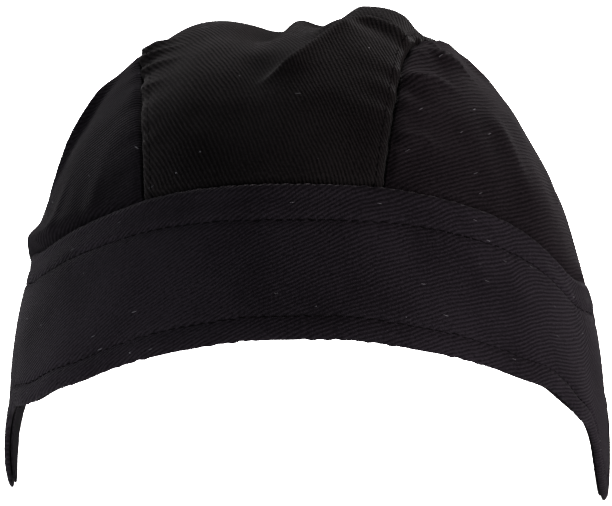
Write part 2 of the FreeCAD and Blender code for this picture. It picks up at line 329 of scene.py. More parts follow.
left_seam = [(-40, 26.8), (-25, 28.3), (-12, 29.2), (2, 33.6), (20, 36), (60, 36)]
right_seam = [(-40, 35.5), (-19, 40), (0, 42.8), (30, 40), (60, 36)]


def seam_across(side, lean):
    """How far a crown seam lies from the middle: side is 1 on the wearer's left, else -1."""
    return smooth_line(left_seam if side > 0 else right_seam, math.degrees(lean)) * mm


def cloth_wave(spot):
    """The slow unevenness that runs through every ply of the cap."""
    broad = noise.noise(spot * 21 + Vector((5, 0, 0)))
    return (0.9 * broad + 0.3 * noise.noise(spot * 55)) * mm


def crown_relief(spot):
    """How far the crown's cloth lies out from the dome at a place on it."""
    above_band = spot.z - band_top(spot)
    loose = ease(above_band / (5 * mm))
    lift = 2.0 * mm * ease((above_band + 1 * mm) / (4 * mm)) - 0.3 * mm + cloth_wave(spot)
    over_ear = ease(1 - abs(math.degrees(bearing_of(spot)) + 82) / 30)
    lift += 2.4 * mm * over_ear * math.exp(-(((above_band - 3.5 * mm) / (3.6 * mm)) ** 2))
    if not loose:
        return lift
    shape = sum(part.lift(spot) for part in crown_shape)
    shape += 0.70 * mm * noise.noise(spot * 38)
    shape += 0.42 * mm * noise.noise(spot * 90 + Vector((3, 1, 7)))
    lean = math.atan2(spot.y, spot.z - widest_level)
    side = 1 if spot.x > 0 else -1
    beside = abs(spot.x) - seam_across(side, lean)
    depth = (0.8 + 0.25 * side) * mm
    pucker = noise.noise(Vector((lean * 24, side * 5.0, beside * 60)))
    shape -= depth * math.exp(-((beside / (1.3 * mm)) ** 2))
    shape += (0.8 + 0.35 * side) * mm * pucker * math.exp(-abs(beside) / (4 * mm))
    shape -= 0.3 * mm * math.exp(-(((beside + 2.5 * mm) / (0.6 * mm)) ** 2))
    return lift + shape * loose


def crown_surface(spot, out):
    """A dome point moved out to the crown's cloth, and out further by the amount given."""
    return spot + dome_normal(spot) * (crown_relief(spot) + out)


def cloth_grid(name, columns, rows, place, finish, thickness):
    """A piece of cloth over a grid: place gives each point and its place on the flat cut."""
    points, flats, faces = [], [], []
    for column in range(columns + 1):
        for row in range(rows + 1):
            point, flat = place(column / columns, row / rows)
            points.append(point)
            flats.append(flat)
    step = rows + 1
    for column in range(columns):
        for row in range(rows):
            corner = column * step + row
            faces.append((corner, corner + step, corner + step + 1, corner + 1))
    mesh = bpy.data.meshes.new(name)
    mesh.from_pydata(points, [], faces)
    weave = mesh.uv_layers.new(name="flat_cut")
    for loop in mesh.loops:
        weave.data[loop.index].uv = flats[loop.vertex_index]
    mesh.polygons.foreach_set("use_smooth", [True] * len(mesh.polygons))
    mesh.materials.append(finish)
    piece = bpy.data.objects.new(name, mesh)
    bpy.context.collection.objects.link(piece)
    wall = piece.modifiers.new("cloth_thickness", "SOLIDIFY")
    wall.thickness = thickness
    wall.offset = -1
    wall.use_even_offset = False
    return piece


class Recipe:
    """Builds a material's nodes one by one."""

    def __init__(self, name):
        self.material = bpy.data.materials.new(name)
        self.material.use_nodes = True
        self.tree = self.material.node_tree
        self.shader = self.tree.nodes["Principled BSDF"]

    def add(self, kind, inputs=(), **settings):
        node = self.tree.nodes.new("ShaderNode" + kind)
        for key, value in settings.items():
            setattr(node, key, value)
        for socket, value in dict(inputs).items():
            if hasattr(value, "is_output"):
                self.tree.links.new(value, node.inputs[socket])
            else:
                node.inputs[socket].default_value = value
        return node

    def sum_of(self, operation, first, second=0.0, third=0.0):
        given = {0: first, 1: second, 2: third}
        return self.add("Math", given, operation=operation).outputs[0]

    def blend(self, share, low, high):
        node = self.add("Mix", {0: share, 6: low, 7: high}, data_type="RGBA")
        return node.outputs[2]

    def finish(self, color, height, bump_depth, bump_strength=1.0):
        self.tree.links.new(color, self.shader.inputs["Base Color"])
        bump = self.add(
            "Bump", {"Strength": bump_strength, "Distance": bump_depth, "Height": height}
        )
        self.tree.links.new(bump.outputs[0], self.shader.inputs["Normal"])
        return self.material


def twill(name, wale_angle, tone, nap=0.024):
    """Cotton twill: slanting wales a millimetre apart, paler along their crests, partly from wear
    and partly as painted light, with painted shade in the valleys.
    """
    cloth = Recipe(name)
    cloth.shader.inputs["Roughness"].default_value = 0.8
    cloth.shader.inputs["Specular IOR Level"].default_value = 0.0
    cloth.shader.inputs["Sheen Weight"].default_value = nap
    cloth.shader.inputs["Sheen Roughness"].default_value = 0.3
    flat_cut = cloth.add("UVMap", uv_map="flat_cut").outputs[0]
    turned = cloth.add(
        "Mapping", {"Vector": flat_cut, "Rotation": (0, 0, -math.radians(wale_angle))}
    ).outputs[0]
    drift = cloth.add("TexNoise", {"Vector": flat_cut, "Scale": 45.0, "Detail": 2.0}).outputs[0]
    slub = cloth.add("TexNoise", {"Vector": flat_cut, "Scale": 900.0, "Detail": 2.0}).outputs[0]
    split = cloth.add("SeparateXYZ", {0: turned})
    wale_pitch, float_length, drift_reach = 0.98 * mm, 0.62 * mm, 3.0 * mm
    drift_shift = cloth.sum_of("MULTIPLY_ADD", drift, drift_reach, -drift_reach / 2)
    across = cloth.sum_of("ADD", split.outputs[1], drift_shift)
    across = cloth.sum_of("MULTIPLY_ADD", slub, 0.3 * mm, across)
    phase = cloth.sum_of("MULTIPLY", across, math.tau / wale_pitch)
    wale = cloth.sum_of("MULTIPLY_ADD", cloth.sum_of("SINE", phase), 0.5, 0.5)
    wale_number = cloth.sum_of("FLOOR", cloth.sum_of("DIVIDE", across, wale_pitch))
    along = cloth.sum_of("DIVIDE", split.outputs[0], float_length)
    along = cloth.sum_of("MULTIPLY_ADD", wale_number, 0.37, along)
    floats = cloth.sum_of("SINE", cloth.sum_of("MULTIPLY", along, math.pi))
    floats = cloth.sum_of("ABSOLUTE", floats)
    yarn = cloth.sum_of("MULTIPLY_ADD", floats, 0.35, 0.65)
    height = cloth.sum_of("MULTIPLY", wale, yarn)
    height = cloth.sum_of("MULTIPLY_ADD", slub, 0.8, height)
    wear = cloth.add("TexNoise", {"Vector": flat_cut, "Scale": 30.0, "Detail": 4.0}).outputs[0]
    # Colour follows the wale height. The valleys are painted shade, and the crests are paler,
    # partly as painted light and partly as wear that the broad noise makes patchy.
    crest_wear_and_valley_shade = cloth.sum_of("MULTIPLY", height, cloth.sum_of("MULTIPLY_ADD", wear, 1.9, -0.2))
    fibre = cloth.add("TexNoise", {"Vector": flat_cut, "Scale": 1500.0, "Detail": 2.0}).outputs[0]
    crest_wear_and_valley_shade = cloth.sum_of("MULTIPLY", crest_wear_and_valley_shade, cloth.sum_of("MULTIPLY_ADD", fibre, 2.6, -0.3))
    # The valley colour is painted shade below the cloth's tone. The crest colour lies above it,
    # partly painted light and partly wear.
    valley, crest = [(*[share * part for part in tone], 1) for share in (0.45, 2.3)]
    color = cloth.blend(crest_wear_and_valley_shade, valley, crest)
    cell = cloth.add("TexVoronoi", {"Vector": flat_cut, "Scale": 150.0})
    speck = cloth.sum_of("LESS_THAN", cell.outputs["Distance"], 0.03)
    picked = cloth.sum_of(
        "GREATER_THAN", cloth.add("SeparateColor", {0: cell.outputs["Color"]}).outputs[0], 0.74
    )
    hair_cut = cloth.add(
        "Mapping",
        {"Vector": flat_cut, "Rotation": (0, 0, 0.9), "Scale": (26.0, 330.0, 1.0)},
    ).outputs[0]
    hair_cell = cloth.add("TexVoronoi", {"Vector": hair_cut, "Scale": 2.6})
    hair = cloth.sum_of("LESS_THAN", hair_cell.outputs["Distance"], 0.06)
    hair_picked = cloth.sum_of(
        "GREATER_THAN", cloth.add("SeparateColor", {0: hair_cell.outputs["Color"]}).outputs[0], 0.7
    )
    lint = cloth.sum_of(
        "MAXIMUM",
        cloth.sum_of("MULTIPLY", speck, picked),
        cloth.sum_of("MULTIPLY", hair, hair_picked),
    )
    color = cloth.blend(cloth.sum_of("MULTIPLY", lint, 0.55), color, (0.09, 0.09, 0.095, 1))
    return cloth.finish(color, height, 0.25 * mm, 0.65)


# The three panels are one black twill, but each has its own tone and sheen weight, which stand in
# for the light falling on that side of the crown: painted light and shade.
centre_twill = twill("twill_centre_panel", -65, (0.0022, 0.0020, 0.0020))
left_twill = twill("twill_left_panel", -5, (0.0025, 0.0021, 0.0024), 0.016)
right_twill = twill("twill_right_panel", 52, (0.0018, 0.0016, 0.0019), 0.016)
cloth_thickness = 0.8 * mm

opening_radius = 45 * mm
opening_centre = -30 * mm

hem_stations = [
    (0, 2.9), (10, 2.3), (20, -0.2), (30, -3.8), (40, -8.8), (48, -13.7), (56, -17.9),
    (62, -22.0), (70, -27.0), (80, -32.3), (100, -35.2), (125, -35), (150, -31), (180, -28),
]


def hem(bearing):
    """Height of the crown's hem: it falls from the forehead to the ear and rises to the nape."""
    turn = math.degrees(bearing)
    skew = 5.8 * (1 - ease((abs(turn) - 56) / 20))
    return smooth_line(hem_stations, abs(turn - skew)) * mm


def half_moon(x):
    """Height of the half-moon opening's edge at the back, or the hem where there is none."""
    return opening_centre + math.sqrt(max(opening_radius**2 - x**2, 0.0))


centre_front_lean = math.atan2(-97 * mm, 1 * mm - widest_level)
centre_ends = {}


def centre_ends_at(across):
    """Where the centre panel starts and ends at a share of its width, as leans."""
    if across not in centre_ends:
        start, end = centre_front_lean, 1.0
        for _ in range(10):
            x = -seam_across(-1, start) * (1 - across) + seam_across(1, start) * across
            edge = dome_by_lean(x, start)
            start += (hem(bearing_of(edge)) - edge.z) / (120 * mm)
            x = -seam_across(-1, end) * (1 - across) + seam_across(1, end) * across
            end += (dome_by_lean(x, end).z - half_moon(x)) / (120 * mm)
        centre_ends[across] = (start, end)
    return centre_ends[across]


def centre_place(across, along):
    """A point on the centre panel, and its place on the flat cut."""
    start, end = centre_ends_at(across)
    lean = start + (end - start) * along
    x = -seam_across(-1, lean) * (1 - across) + seam_across(1, lean) * across
    spot = dome_by_lean(x, lean)
    tuck = -0.8 * mm * (ease(1 - across / 0.012) + ease((across - 1) / 0.012 + 1))
    return crown_surface(spot, tuck), (x, lean * run_of_lean)


crown_centre_panel = cloth_grid(
    "crown_centre_panel_cloth", 68, 270, centre_place, centre_twill, cloth_thickness
)
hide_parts("crown_centre_panel")
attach(crown_centre_panel, "cap")


def seam_height(side, bearing):
    """Height at which a crown seam crosses a bearing."""
    height = 0.0
    for _ in range(30):
        spot = dome_by_bearing(bearing, height)
        lean = math.atan2(spot.y, height - widest_level)
        scale = seam_across(side, lean) / (half_width * max(math.sin(bearing), 0.01))
        share = max(1 - min(scale, 1) ** fullness, 0) ** (1 / fullness)
        height += (widest_level + dome_rise * share - height) * 0.5
    return height


def lower_edge(bearing):
    """Height of a side panel's lower edge: the hem, or the half-moon's edge at the back."""
    height = hem(bearing)
    for _ in range(30):
        spot = dome_by_bearing(bearing, height)
        level = hem(bearing)
        if spot.y > 60 * mm and abs(spot.x) < opening_radius:
            level = max(level, half_moon(spot.x))
        height += (level - height) * 0.5
    return height


def meeting_bearing(side, low, high):
    """The bearing between two at which the seam meets the panel's lower edge."""
    for _ in range(30):
        middle = (low + high) / 2
        if seam_height(side, middle) < lower_edge(side * middle):
            low = middle
        else:
            high = middle
    return (low + high) / 2


def side_panel(name, side, finish):
    """A side panel, from where the seam meets the hem at the forehead round to the half-moon."""
    front = meeting_bearing(side, math.radians(8), math.radians(80))
    back = meeting_bearing(side, math.radians(176), math.radians(110))
    grain_middle = Vector((side * 0.93, -0.22, 0.30)).normalized()
    grain_right = Vector((-grain_middle.y, grain_middle.x, 0)).normalized()
    grain_up = grain_middle.cross(grain_right)

    def place(along, up):
        # Bearings run round the wearer's left, so the other side is swapped over.
        bearing = front + (back - front) * (along if side > 0 else 1 - along)
        low, high = lower_edge(side * bearing), seam_height(side, bearing)
        spot = dome_by_bearing(bearing, low + (max(high, low) - low) * up)
        spot.x *= side
        heading = (spot - Vector((0, 0, widest_level))).normalized()
        off = heading.angle(grain_middle, 0.0)
        right, rise = heading.dot(grain_right), heading.dot(grain_up)
        spread = off / max(math.hypot(right, rise), 1e-6) * 100 * mm
        tuck = -0.8 * mm * ease((up - 1) / 0.012 + 1)
        return crown_surface(spot, tuck), (right * spread, rise * spread)

    panel = cloth_grid(name, 190, 92, place, finish, cloth_thickness)
    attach(panel, "cap")
    return panel


crown_left_panel = side_panel("crown_left_panel_cloth", 1, left_twill)
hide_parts("crown_left_panel")
crown_right_panel = side_panel("crown_right_panel_cloth", -1, right_twill)
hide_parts("crown_right_panel")

# ---- Stitching on the crown: one row of black polyester thread on the centre panel's side of
# each seam, which holds the turned-in edges down. The machine makes nine stitches to the inch.

thread_recipe = Recipe("black_thread")
thread_recipe.shader.inputs["Roughness"].default_value = 0.55
thread_recipe.shader.inputs["Specular IOR Level"].default_value = 0.0
thread_place = thread_recipe.add("TexCoord").outputs["Object"]
strands = thread_recipe.add("TexNoise", {"Vector": thread_place, "Scale": 2600.0}).outputs[0]
strand_tone = thread_recipe.blend(strands, (0.0006, 0.0006, 0.0006, 1), (0.0028, 0.0026, 0.0028, 1))
black_thread = thread_recipe.finish(strand_tone, strands, 0.08 * mm)

stitch_pitch = 2.8 * mm
stitch_length = 2.2 * mm
thread_thickness = 0.38 * mm


def stitching_tree(name, as_stitches):
    """Stitches laid along a line, or with as_stitches off one thread that follows the line."""
    tree = bpy.data.node_groups.new(name, "GeometryNodeTree")
    tree.interface.new_socket("Geometry", in_out="INPUT", socket_type="NodeSocketGeometry")
    for label in ("Pitch", "Length", "Thickness"):
        tree.interface.new_socket(label, in_out="INPUT", socket_type="NodeSocketFloat")
    tree.interface.new_socket("Thread", in_out="INPUT", socket_type="NodeSocketMaterial")
    tree.interface.new_socket("Geometry", in_out="OUTPUT", socket_type="NodeSocketGeometry")

    def add(kind, inputs):
        node = tree.nodes.new(kind)
        for socket, value in inputs.items():
            if hasattr(value, "is_output"):
                tree.links.new(value, node.inputs[socket])
            else:
                node.inputs[socket].default_value = value
        return node

    given = tree.nodes.new("NodeGroupInput").outputs
    thickness = given["Thickness"]
    line = add("GeometryNodeMeshToCurve", {"Mesh": given["Geometry"]}).outputs["Curve"]
    if as_stitches:
        marks = tree.nodes.new("GeometryNodeCurveToPoints")
        marks.mode = "LENGTH"
        tree.links.new(line, marks.inputs["Curve"])
        tree.links.new(given["Pitch"], marks.inputs["Length"])
        stitch = add("GeometryNodeMeshUVSphere", {"Segments": 6, "Rings": 6, "Radius": 0.5})
        size = add("ShaderNodeCombineXYZ", {"X": thickness, "Y": thickness, "Z": given["Length"]})
        laid = add(
            "GeometryNodeInstanceOnPoints",
            {
                "Points": marks.outputs["Points"],
                "Rotation": marks.outputs["Rotation"],
                "Instance": stitch.outputs["Mesh"],
                "Scale": size.outputs[0],
            },
        ).outputs["Instances"]
    else:
        radius = add("ShaderNodeMath", {0: thickness, 1: 0.5})
        radius.operation = "MULTIPLY"
        ring = add(
            "GeometryNodeCurvePrimitiveCircle", {"Resolution": 6, "Radius": radius.outputs[0]}
        )
        laid = add(
            "GeometryNodeCurveToMesh",
            {"Curve": line, "Profile Curve": ring.outputs["Curve"], "Fill Caps": True},
        ).outputs["Mesh"]
    real = add("GeometryNodeRealizeInstances", {"Geometry": laid})
    dressed = add(
        "GeometryNodeSetMaterial",
        {"Geometry": real.outputs["Geometry"], "Material": given["Thread"]},
    )
    add("NodeGroupOutput", {"Geometry": dressed.outputs["Geometry"]})
    return tree


stitch_tree = stitching_tree("row_of_stitches", True)
zigzag_tree = stitching_tree("zigzag_thread", False)


def sew(name, lines, tree, node, body):
    """Thread along each line of points, as one piece that stands for a CAD node."""
    points, edges = [], []
    for line in lines:
        edges += [(len(points) + step, len(points) + step + 1) for step in range(len(line) - 1)]
        points += line
    guide = bpy.data.meshes.new(name + "_guide")
    guide.from_pydata(points, edges, [])
    sewing = bpy.data.objects.new(name + "_guide", guide)
    bpy.context.collection.objects.link(sewing)
    machine = sewing.modifiers.new("sewing", "NODES")
    machine.node_group = tree
    settings = {
        "Pitch": stitch_pitch,
        "Length": stitch_length,
        "Thickness": thread_thickness,
        "Thread": black_thread,
    }
    for socket in tree.interface.items_tree:
        if socket.in_out == "INPUT" and socket.name in settings:
            machine[socket.identifier] = settings[socket.name]
    sewn = sewing.evaluated_get(bpy.context.evaluated_depsgraph_get())
    mesh = bpy.data.meshes.new_from_object(sewn)
    mesh.name = name
    mesh.polygons.foreach_set("use_smooth", [True] * len(mesh.polygons))
    bpy.data.objects.remove(sewing)
    bpy.data.meshes.remove(guide)
    piece = bpy.data.objects.new(name, mesh)
    bpy.context.collection.objects.link(piece)
    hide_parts(node)
    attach(piece, body)


def crown_row(side):
    """Points along the row beside a crown seam, where the cloth isn't covered."""
    line = []
    for step in range(241):
        lean = centre_front_lean + (1.02 - centre_front_lean) * step / 240
        across = side * (seam_across(side, lean) - 2.5 * mm)
        spot = dome_by_lean(across, lean)
        above_opening = spot.y < 0 or spot.z > half_moon(spot.x) + 7 * mm
        if above_opening and spot.z > band_top(spot) + 1 * mm:
            line.append(crown_surface(spot, 0.05 * mm))
    return line


sew("crown_stitching_left_row", [crown_row(1)], stitch_tree, "crown_stitching_left", "cap")
sew("crown_stitching_right_row", [crown_row(-1)], stitch_tree, "crown_stitching_right", "cap")

# ---- Seam tapes: narrow black cotton tape sewn over each crown seam on the inside, so that the
# raw edges don't rub the head. They run from the sweatband at the forehead to the back opening.

tape_recipe = Recipe("cotton_tape")
tape_recipe.shader.inputs["Roughness"].default_value = 0.85
tape_recipe.shader.inputs["Specular IOR Level"].default_value = 0.0
tape_cut = tape_recipe.add("UVMap", uv_map="flat_cut").outputs[0]
tape_weave = tape_recipe.add(
    "TexWave", {"Vector": tape_cut, "Scale": 420.0, "Distortion": 0.6}, wave_type="BANDS"
).outputs[1]
tape_tone = tape_recipe.blend(tape_weave, (0.0012, 0.0012, 0.0012, 1), (0.005, 0.005, 0.0053, 1))
cotton_tape = tape_recipe.finish(tape_tone, tape_weave, 0.12 * mm)
tape_half = 5 * mm


def seam_tape(name, side, node):
    front = math.radians(-47)

    def place(along, across):
        lean = front + (1.0 - front) * along
        x = side * seam_across(side, lean) + (across - 0.5) * 2 * tape_half
        sunk = 1.3 * mm * math.exp(-(((across - 0.5) * 6) ** 2))
        return crown_surface(dome_by_lean(x, lean), -1.1 * mm - sunk), (x, lean * run_of_lean)

    tape = cloth_grid(name, 150, 8, place, cotton_tape, 0.35 * mm)
    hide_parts(node)
    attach(tape, "cap")


seam_tape("seam_tape_left_strip", 1, "seam_tape_left")
seam_tape("seam_tape_right_strip", -1, "seam_tape_right")

# ---- Band: a stiff crescent of the same twill, turned up round the forehead and the sides, with
# its ends cut to points in front of the ears. Twill outside, a woven stiffener, a twill facing.

point_stations = [
    (68, -27.2), (74.7, -32.6), (78.2, -37.6), (80.2, -41.4), (81.6, -45), (83.3, -49),
    (85.6, -53.5), (87.8, -57), (90, -58.3), (91.7, -55), (92.8, -48), (93.9, -41.5),
    (95.6, -37.5), (99, -36.2), (110, -35.8), (130, -35.6),
]
band_end = math.acos(-58 * mm / (half_length * dome_scale(-34 * mm)))
band_edges = {}


def band_edge_heights(bearing):
    """Heights of the band's lower and upper edges at a bearing."""
    if bearing not in band_edges:
        turn = abs(math.degrees(bearing))
        low, high = hem(bearing) - 0.7 * mm, 30 * mm
        low += 0.35 * mm * noise.noise(Vector((bearing * 38, 7, 0)))
        point = min(low, smooth_line(point_stations, turn) * mm)
        low += (point - low) * ease((turn - 66) / 5)
        for _ in range(40):
            high += (band_top(dome_by_bearing(bearing, high)) - high) * 0.5
        high += 0.35 * mm * noise.noise(Vector((bearing * 34, 2, 0)))
        band_edges[bearing] = (low, max(high, low + 0.5 * mm))
    return band_edges[bearing]


def point_flare(spot):
    """How far the band's ends stand out from the head, most at the points."""
    low_down = ease((-26 * mm - spot.z) / (24 * mm))
    return (0.1 if spot.x > 0 else 1.3) * mm * low_down + 1.6 * mm * low_down * ease(
        (spot.y + 16 * mm) / (30 * mm)
    )


def band_length(bearing):
    """Distance along the band from the middle of the forehead."""
    middle, half_spread = (half_width + half_length) / 2, (half_length - half_width) / 4
    return middle * bearing - half_spread * math.sin(2 * bearing)


top_row_drop = 8.3
bottom_row_rise = 5.6
deepest_groove = 0.75


def band_face(bearing, height, low, high):
    """How the band's outer face swells and sinks: the rolled edge, the rows and soft waves."""
    drop, rise = (high - height) / mm, (height - low) / mm
    shape = 0.35 * math.exp(-(((drop - 1.4) / 1.0) ** 2))
    shape -= 0.15 * math.exp(-(((drop - 3.2) / 0.9) ** 2))
    shape -= deepest_groove * math.exp(-(((drop - top_row_drop) / 0.75) ** 2))
    shape -= 0.7 * math.exp(-(((rise - bottom_row_rise) / 0.7) ** 2))
    shape += 0.30 * math.exp(-(((rise - 2.6) / 1.6) ** 2))
    pucker = noise.noise(Vector((bearing * 70, 0.3, drop * 0.12)))
    shape += 0.28 * pucker * math.exp(-(((drop - top_row_drop) / 3.0) ** 2))
    hem_pucker = noise.noise(Vector((bearing * 80, 4.0, 0)))
    shape += 0.22 * hem_pucker * math.exp(-(((rise - 3) / 4.0) ** 2))
    return max(shape, -deepest_groove) * mm


def band_ply(name, finish, thickness, out, edge_margin, steps, into_points):
    """A plain ply of the band that stops short of its edges by edge_margin."""

    def place(along, up):
        bearing = band_end * (2 * along - 1) * 0.995
        low, high = band_edge_heights(bearing)
        if not into_points:
            low = max(low, hem(bearing) - 1 * mm)
        margin = min(edge_margin, (high - low) * 0.4)
        height = low + margin + (high - low - 2 * margin) * up
        spot = dome_by_bearing(bearing, height)
        out_here = out + cloth_wave(spot) + point_flare(spot)
        flat = (band_length(bearing), height - hem(bearing))
        return spot + dome_normal(spot) * out_here, flat

    ply = cloth_grid(name, 240, steps, place, finish, thickness)
    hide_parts(name.rsplit("_", 1)[0])
    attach(ply, "cap")
    return ply


facing_twill = twill("twill_facing", 62, (0.0033, 0.0029, 0.0035))
band_facing = band_ply(
    "band_facing_cloth", facing_twill, 0.4 * mm, 0.45 * mm, 1.1 * mm, 24, True
)

stiffener_recipe = Recipe("woven_stiffener")
stiffener_recipe.shader.inputs["Roughness"].default_value = 0.9
stiffener_cut = stiffener_recipe.add("UVMap", uv_map="flat_cut").outputs[0]
stiffener_weave = stiffener_recipe.add(
    "TexChecker", {"Vector": stiffener_cut, "Scale": 1600.0}
).outputs[1]
stiffener_tone = stiffener_recipe.blend(
    stiffener_weave, (0.42, 0.42, 0.40, 1), (0.62, 0.62, 0.6, 1)
)
woven_stiffener = stiffener_recipe.finish(stiffener_tone, stiffener_weave, 0.1 * mm)
band_interlining = band_ply(
    "band_interlining_cloth", woven_stiffener, 0.35 * mm, 0.95 * mm, 2.4 * mm, 16, False
)

# The band is the same twill as the crown panels, given its own lighter tone, which stands in for
# the light on the band: painted light.
band_twill = twill("twill_band", 21, (0.0031, 0.0027, 0.0033))
band_out = 2.2 * mm
turned_in = [(3.2, 1.0), (1.0, 0.95), (0.2, 0.9), (-0.15, 1.15), (-0.1, 1.6), (0.35, 2.0)]
face_rows = 46


def band_outer_place(along, up):
    """A point on the band's outer cloth, which is turned in at its lower and upper edges."""
    bearing = band_end * (2 * along - 1)
    low, high = band_edge_heights(bearing)
    edge_rows = len(turned_in)
    row = round(up * (face_rows + 2 * edge_rows))
    closeness = min(1.0, (high - low) / (12 * mm))
    if row < edge_rows:
        offset, out = turned_in[row]
        height, out = low + offset * closeness * mm, out * mm
    elif row > face_rows + edge_rows:
        offset, out = turned_in[face_rows + 2 * edge_rows - row]
        height, out = high - offset * closeness * mm, out * mm
    else:
        share = (row - edge_rows) / face_rows
        margin = 0.9 * mm * closeness
        height = low + margin + (high - low - 2 * margin) * share
        out = band_out + band_face(bearing, height, low, high) * closeness
    spot = dome_by_bearing(bearing, height)
    out += cloth_wave(spot) + point_flare(spot)
    flat = (band_length(bearing), (height - hem(bearing)) * 1.05)
    return spot + dome_normal(spot) * out, flat


band_outer = cloth_grid(
    "band_outer_cloth",
    400,
    face_rows + 2 * len(turned_in),
    band_outer_place,
    band_twill,
    0.45 * mm,
)
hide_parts("band_outer")
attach(band_outer, "cap")

# ---- Rows on the band: two rows of the same thread, one under the rolled top edge and one above
# the hem, which hold the turned edges and the stiffener.


def band_row(drop, rise, end_share):
    """Points along a row, given its drop below the top edge or else its rise above the hem."""
    line = []
    for step in range(501):
        bearing = band_end * end_share * (step / 250 - 1)
        low, high = band_edge_heights(bearing)
        height = high - drop * mm if drop else low + rise * mm
        if low + 1 * mm <= height <= high - 1 * mm:
            spot = dome_by_bearing(bearing, height)
            out = band_out + band_face(bearing, height, low, high) + 0.12 * mm
            out += cloth_wave(spot) + point_flare(spot)
            line.append(spot + dome_normal(spot) * out)
    return line


top_row, bottom_row = band_row(top_row_drop, 0, 0.93), band_row(0, bottom_row_rise, 0.86)
sew("band_top_row", [top_row], stitch_tree, "band_top_stitching", "cap")
sew("band_bottom_row", [bottom_row], stitch_tree, "band_bottom_stitching", "cap")

# ---- Sweatband: a soft black cotton strip inside the hem, sewn along its upper edge. It stops at
# each side of the adjuster at the back.

sweatband_twill = twill("soft_lining", 45, (0.0060, 0.0056, 0.0060))
sweatband_end = math.radians(180) - math.asin(51 * mm / (half_width * 0.985))
sweatband_rise = 30 * mm


def sweatband_place(along, up):
    """A point on the sweatband, which rolls a little at its edges and ripples between them."""
    bearing = sweatband_end * (2 * along - 1)
    low = lower_edge(bearing)
    height = low + 1.2 * mm + (sweatband_rise - 1.2 * mm) * up
    spot = dome_by_bearing(bearing, height)
    roll = 0.4 * mm * math.cos(up * math.tau)
    ripple = 0.5 * mm * noise.noise(spot * 30)
    out = -1.5 * mm - roll * 0.5 + ripple * math.sin(up * math.pi) + cloth_wave(spot)
    return spot + dome_normal(spot) * out, (band_length(bearing), height - low)


sweatband = cloth_grid("sweatband_cloth", 240, 22, sweatband_place, sweatband_twill, 0.7 * mm)
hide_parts("sweatband")
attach(sweatband, "cap")
sweat_line = []
for step in range(401):
    spot = sweatband_place(0.005 + 0.99 * step / 400, 0.93)[0]
    sweat_line.append(spot - dome_normal(spot) * 0.75 * mm)
sew("sweatband_row", [sweat_line], stitch_tree, "sweatband_stitching", "cap")

# ---- Care label: a blank folded strip of pale satin ribbon, sewn inside above the back opening.

ribbon_recipe = Recipe("satin_ribbon")
ribbon_recipe.shader.inputs["Roughness"].default_value = 0.4
ribbon_cut = ribbon_recipe.add("UVMap", uv_map="flat_cut").outputs[0]
ribbon_weave = ribbon_recipe.add(
    "TexWave", {"Vector": ribbon_cut, "Scale": 900.0, "Distortion": 0.3}, wave_type="BANDS"
).outputs[1]
ribbon_tone = ribbon_recipe.blend(ribbon_weave, (0.62, 0.62, 0.60, 1), (0.78, 0.78, 0.76, 1))
satin_ribbon = ribbon_recipe.finish(ribbon_tone, ribbon_weave, 0.05 * mm)
label_low, label_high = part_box("care_label")


def at_back(x, height):
    """The dome's point on the back of the cap at x and a height."""
    width = half_width * dome_scale(height)
    return dome_by_bearing(math.pi - math.asin(max(-1, min(1, x / width))), height)


def label_place(along, up):
    """A point on the label, which curls away from the crown towards its lower end."""
    x = label_low[0] + (label_high[0] - label_low[0]) * along
    height = label_low[2] + (label_high[2] - label_low[2]) * up
    spot = at_back(x, height)
    curl = 1.6 * mm * (1 - up) ** 2 * (1 + 0.4 * math.sin(along * 5))
    return crown_surface(spot, -1.2 * mm - curl), (x, height)


care_label = cloth_grid("care_label_ribbon", 24, 24, label_place, satin_ribbon, 0.2 * mm)
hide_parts("care_label")
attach(care_label, "cap")

# ---- Binding of the back opening: cotton tape folded over the cut edge of the half-moon, with its
# ends caught under the two straps of the adjuster.

binding_profile = [
    (6.2, -1.5), (3.0, -1.7), (0.6, -1.7), (-0.5, -1.2), (-0.9, -0.2), (-0.5, 1.0), (0.6, 1.5),
    (3.0, 1.5), (5.6, 1.35), (6.2, 0.9),
]


def binding_place(along, up):
    """A point on the binding, which is flattened where the straps cover its ends."""
    swing = math.radians(17) + math.radians(146) * along
    width, out = binding_profile[round(up * (len(binding_profile) - 1))]
    radius = opening_radius + width * mm
    x, height = radius * math.cos(swing), opening_centre + radius * math.sin(swing)
    spot = at_back(x, height)
    pucker = 0.25 * mm * noise.noise(Vector((along * 60, up * 3, 0)))
    relief = crown_relief(spot) if up > 0.5 else crown_relief(spot) * 0.8
    under_strap = ease((0.12 - along) / 0.07) + ease((along - 0.88) / 0.07)
    out *= (1 - 0.7 * under_strap) * mm
    return spot + dome_normal(spot) * (relief + out + pucker), (
        swing * opening_radius,
        width * mm,
    )


rear_binding = cloth_grid(
    "rear_opening_binding_tape", 120, len(binding_profile) - 1, binding_place, cotton_tape, 0.3 * mm
)
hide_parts("rear_opening_binding")
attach(rear_binding, "cap")

# ---- Adjuster: two twill straps across the back. The wearer's left one carries loop tape, and
# the right one, with hook tape inside its free end, laps over it and peels back at its sewn line.

strap_twill = twill("twill_strap", 45, (0.0044, 0.0038, 0.0044))
strap_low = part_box("loop_tab")[0][2]
strap_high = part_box("loop_tab")[1][2]
corner_radius = 4.5 * mm


def on_strap(x, height, out_at, sewn_side):
    """A point on a strap: it stands off where it is free and sits on the cap where it is sewn."""
    spot = at_back(x, height)
    sewn = ease((x * sewn_side - 44 * mm) / (9 * mm))
    seated = crown_relief(spot) + 1 * mm
    return spot + dome_normal(spot) * (seated * sewn + out_at(x) * (1 - sewn))


